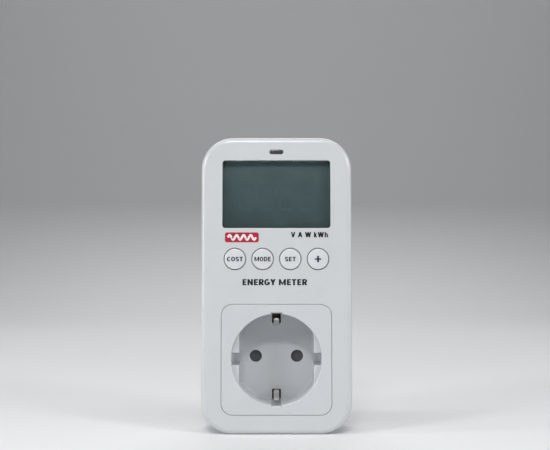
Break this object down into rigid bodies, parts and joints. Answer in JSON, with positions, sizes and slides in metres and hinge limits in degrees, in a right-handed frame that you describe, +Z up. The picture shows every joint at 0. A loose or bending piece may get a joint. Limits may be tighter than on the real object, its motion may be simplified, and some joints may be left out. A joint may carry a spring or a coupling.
{
  "type": "plug-in power meter",
  "caption": "Plug-in mains energy meter: flat upright case with a liquid crystal display, a row of push buttons and an earthed round socket in front, and a matching two-pin earthed plug behind.",
  "frame": {"origin": "centre of the plug's pin face, on the common axis of plug and socket", "axes": "+Y points out of the pin face, into the wall socket; +Z is up, along the case's long side; +X is to the right as seen from the front"},
  "size_m": [0.0668, 0.0697, 0.131],
  "materials": {
    "backlight_panel": "white light guide",
    "backup_battery": "green sleeve",
    "button_cost": "semi-gloss white cap",
    "button_mode": "semi-gloss white cap",
    "button_plus": "semi-gloss white cap",
    "button_set": "semi-gloss white cap",
    "carrier_screw_left": "zinc-plated steel",
    "carrier_screw_right": "zinc-plated steel",
    "case_screw_1": "zinc-plated steel",
    "case_screw_2": "zinc-plated steel",
    "case_screw_3": "zinc-plated steel",
    "case_screw_4": "zinc-plated steel",
    "contact_carrier": "heat-resistant moulding, off-white",
    "controller_chip": "black moulded package",
    "display_board": "green solder mask on glass-fibre laminate",
    "display_board_screw_left": "zinc-plated steel",
    "display_board_screw_right": "zinc-plated steel",
    "display_window": "clear polished acrylic",
    "dropper_capacitor": "yellow film capacitor box",
    "earth_link": "stamped brass",
    "front_shell": "fine satin moulded plastic, cool light grey-white",
    "fuse": "ceramic tube",
    "indicator_led": "clear resin package",
    "indicator_lens": "dark smoked light guide",
    "lcd_frame": "black moulded frame",
    "lcd_glass": "unlit grey-green liquid crystal cell",
    "live_contact": "stamped brass",
    "live_pin": "nickel-plated brass pin",
    "live_wire": "brown wire insulation",
    "metering_chip": "black moulded package",
    "neutral_contact": "stamped brass",
    "neutral_pin": "nickel-plated brass pin",
    "neutral_wire": "blue wire insulation",
    "plug_base": "satin moulded plastic",
    "plug_earth_strap": "nickel-plated spring strip",
    "power_board": "green solder mask on glass-fibre laminate",
    "power_board_screw_left": "zinc-plated steel",
    "power_board_screw_right": "zinc-plated steel",
    "rating_plate": "blank satin label plate",
    "rear_shell": "fine satin moulded plastic, cool light grey-white",
    "ribbon_cable": "grey flat cable",
    "shunt_resistor": "bare manganin wire",
    "shutter_rotor": "dark grey moulding",
    "shutter_spring": "spring steel wire",
    "smoothing_capacitor": "dark blue sleeve",
    "socket_earth_strap": "nickel-plated spring strip",
    "socket_insert": "satin moulded plastic, light grey-white",
    "switch_body_cost": "black switch case",
    "switch_body_mode": "black switch case",
    "switch_body_plus": "black switch case",
    "switch_body_set": "black switch case",
    "switch_plunger_cost": "black plunger",
    "switch_plunger_mode": "black plunger",
    "switch_plunger_plus": "black plunger",
    "switch_plunger_set": "black plunger",
    "timing_crystal": "plated can",
    "varistor": "blue coated disc",
    "zebra_strip": "layered conductive rubber"
  },
  "bodies": {
    "housing": {"backlight_panel": "backlight_panel", "backup_battery": "backup_battery", "carrier_screw_left": "carrier_screw_left", "carrier_screw_right": "carrier_screw_right", "case_screw_1": "case_screw_1", "case_screw_2": "case_screw_2", "case_screw_3": "case_screw_3", "case_screw_4": "case_screw_4", "contact_carrier": "contact_carrier", "controller_chip": "controller_chip", "display_board": "display_board", "display_board_screw_left": "display_board_screw_left", "display_board_screw_right": "display_board_screw_right", "display_window": "display_window", "dropper_capacitor": "dropper_capacitor", "earth_link": "earth_link", "front_shell": "front_shell", "fuse": "fuse", "indicator_led": "indicator_led", "indicator_lens": "indicator_lens", "lcd_frame": "lcd_frame", "lcd_glass": "lcd_glass", "live_contact": "live_contact", "live_pin": "live_pin", "live_wire": "live_wire", "metering_chip": "metering_chip", "neutral_contact": "neutral_contact", "neutral_pin": "neutral_pin", "neutral_wire": "neutral_wire", "plug_base": "plug_base", "plug_earth_strap": "plug_earth_strap", "power_board": "power_board", "power_board_screw_left": "power_board_screw_left", "power_board_screw_right": "power_board_screw_right", "rating_plate": "rating_plate", "rear_shell": "rear_shell", "ribbon_cable": "ribbon_cable", "shunt_resistor": "shunt_resistor", "shutter_spring": "shutter_spring", "smoothing_capacitor": "smoothing_capacitor", "socket_earth_strap": "socket_earth_strap", "socket_insert": "socket_insert", "switch_body_cost": "switch_body_cost", "switch_body_mode": "switch_body_mode", "switch_body_plus": "switch_body_plus", "switch_body_set": "switch_body_set", "timing_crystal": "timing_crystal", "varistor": "varistor", "zebra_strip": "zebra_strip"},
    "cost_button": {"button_cost": "button_cost", "switch_plunger_cost": "switch_plunger_cost"},
    "mode_button": {"button_mode": "button_mode", "switch_plunger_mode": "switch_plunger_mode"},
    "set_button": {"button_set": "button_set", "switch_plunger_set": "switch_plunger_set"},
    "plus_button": {"button_plus": "button_plus", "switch_plunger_plus": "switch_plunger_plus"},
    "shutter": {"shutter_rotor": "shutter_rotor"}
  },
  "joints": [
    {"name": "cost_press", "type": "slide", "parent": "housing", "child": "cost_button", "axis": [0, 1, 0], "range_m": [0, 0.0006], "stiffness_N_per_m": 600},
    {"name": "mode_press", "type": "slide", "parent": "housing", "child": "mode_button", "axis": [0, 1, 0], "range_m": [0, 0.0006], "stiffness_N_per_m": 600},
    {"name": "set_press", "type": "slide", "parent": "housing", "child": "set_button", "axis": [0, 1, 0], "range_m": [0, 0.0006], "stiffness_N_per_m": 600},
    {"name": "plus_press", "type": "slide", "parent": "housing", "child": "plus_button", "axis": [0, 1, 0], "range_m": [0, 0.0006], "stiffness_N_per_m": 600},
    {"name": "shutter_turn", "type": "hinge", "parent": "housing", "child": "shutter", "pos_m": [0, -0.0295, 0], "axis": [0, 1, 0], "range_deg": [0, 38], "stiffness_Nm_per_rad": 0.02, "deforming": ["shutter_spring"]}
  ]
}
